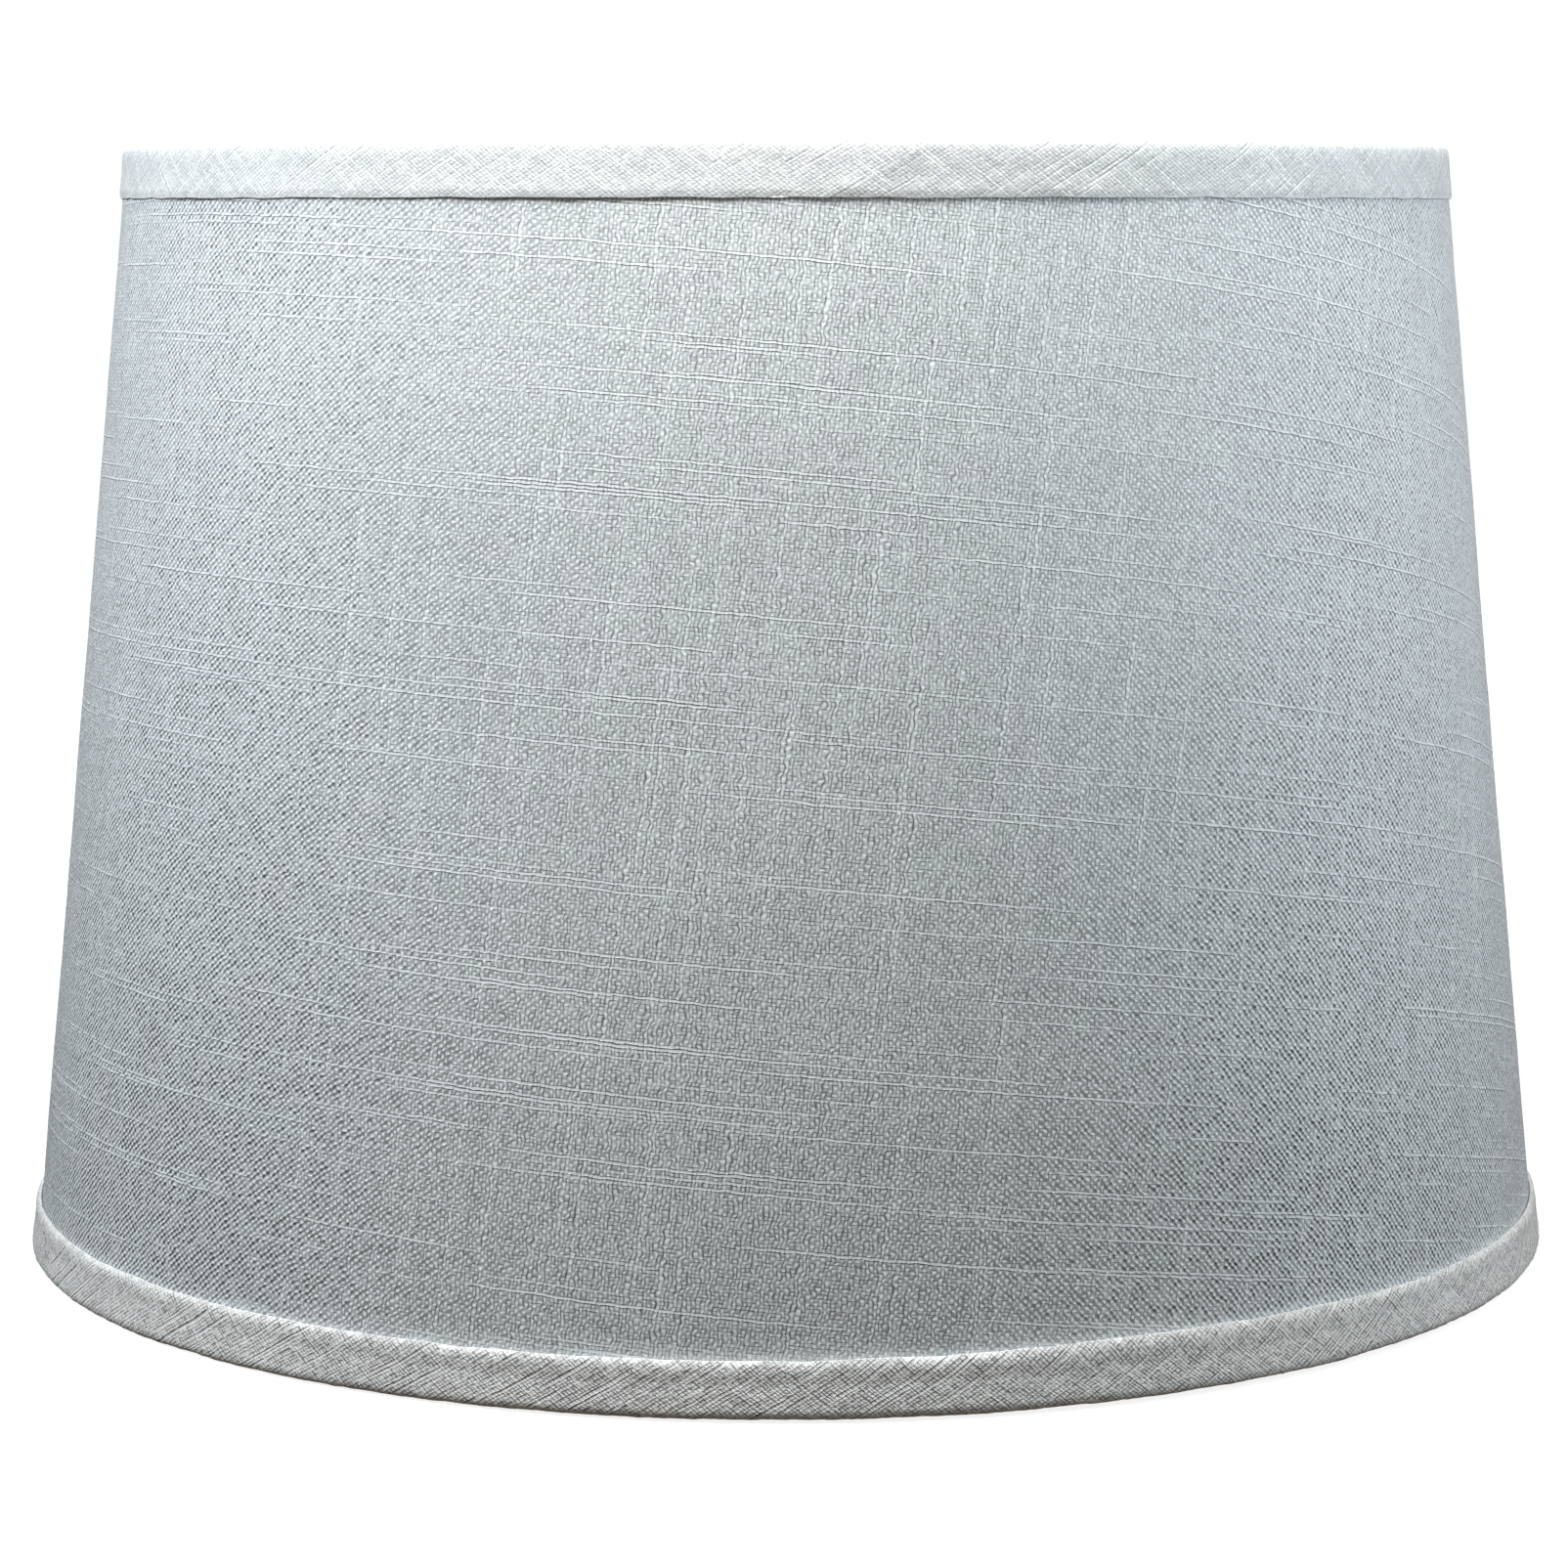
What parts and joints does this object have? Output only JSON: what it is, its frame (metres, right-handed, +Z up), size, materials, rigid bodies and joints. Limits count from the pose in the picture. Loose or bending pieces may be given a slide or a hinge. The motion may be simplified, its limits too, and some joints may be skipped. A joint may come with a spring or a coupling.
{
  "type": "lamp shade",
  "caption": "Tapered drum lamp shade in white slubbed linen on a stiff liner, with rolled bias trim at both rims and a wire spider fitter recessed in the top.",
  "frame": {"origin": "centre of the bottom rim, in the plane the shade stands on", "axes": "+Z up along the shade's axis, from the wide rim to the narrow rim; -Y is the front; the back seam is at 120 degrees from the front towards +X"},
  "size_m": [0.3554, 0.3554, 0.2527],
  "materials": {
    "linen": "matt off-white plain weave with long slubs",
    "bias_tape": "the same linen cut on the bias, folded and rolled",
    "styrene": "smooth translucent white sheet",
    "adhesive_tape": "clear double-sided tape",
    "wire": "nickel-plated steel wire and washer"
  },
  "bodies": {
    "root": {"fabric_cover": "linen", "top_trim": "bias_tape", "bottom_trim": "bias_tape", "liner": "styrene", "seam_tape": "adhesive_tape", "top_ring": "wire", "bottom_ring": "wire", "spider_arm_1": "wire", "spider_arm_2": "wire", "spider_arm_3": "wire", "spider_hub": "wire"}
  },
  "joints": []
}
